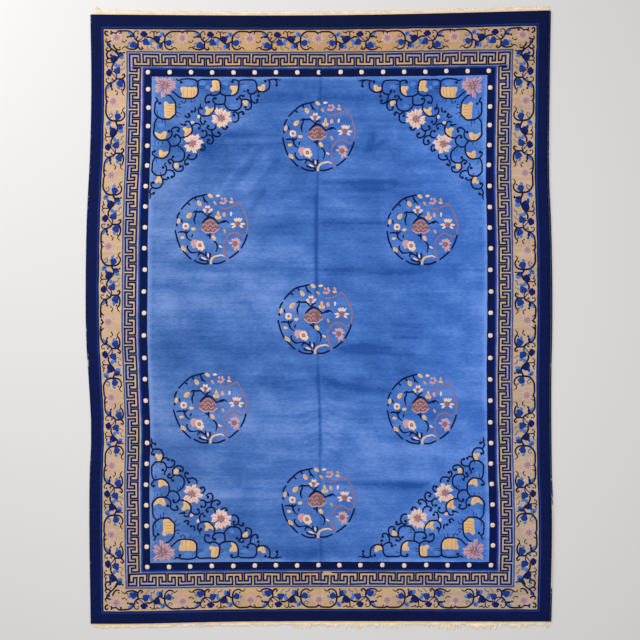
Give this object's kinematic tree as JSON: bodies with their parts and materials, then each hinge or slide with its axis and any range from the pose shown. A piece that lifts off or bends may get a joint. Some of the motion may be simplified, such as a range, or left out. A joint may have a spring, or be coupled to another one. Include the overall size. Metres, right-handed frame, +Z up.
{
  "type": "peking rug",
  "caption": "Room-sized hand-knotted wool rug lying flat, with floral roundels on a blue field, corner scrolls, key-pattern and vine borders and frayed cotton ends.",
  "frame": {"origin": "on the floor under the middle of the whole outline, fringe included", "axes": "+X across the rug, +Y along it towards the end with the even web, +Z up out of the pile"},
  "size_m": [2.7622, 3.697, 0.0103],
  "materials": {
    "wool_pile": "clipped wool pile with a soft sheen, blue, with navy and cream borders",
    "overcast_wool": "navy wool wound over cotton, worn through to cream in places",
    "cotton_warp": "undyed cotton, flat-woven web and loose frayed ends"
  },
  "bodies": {
    "root": {"rug_pile": "wool_pile", "selvedge_left": "overcast_wool", "selvedge_right": "overcast_wool", "fringe_top": "cotton_warp", "fringe_bottom": "cotton_warp"}
  },
  "joints": []
}
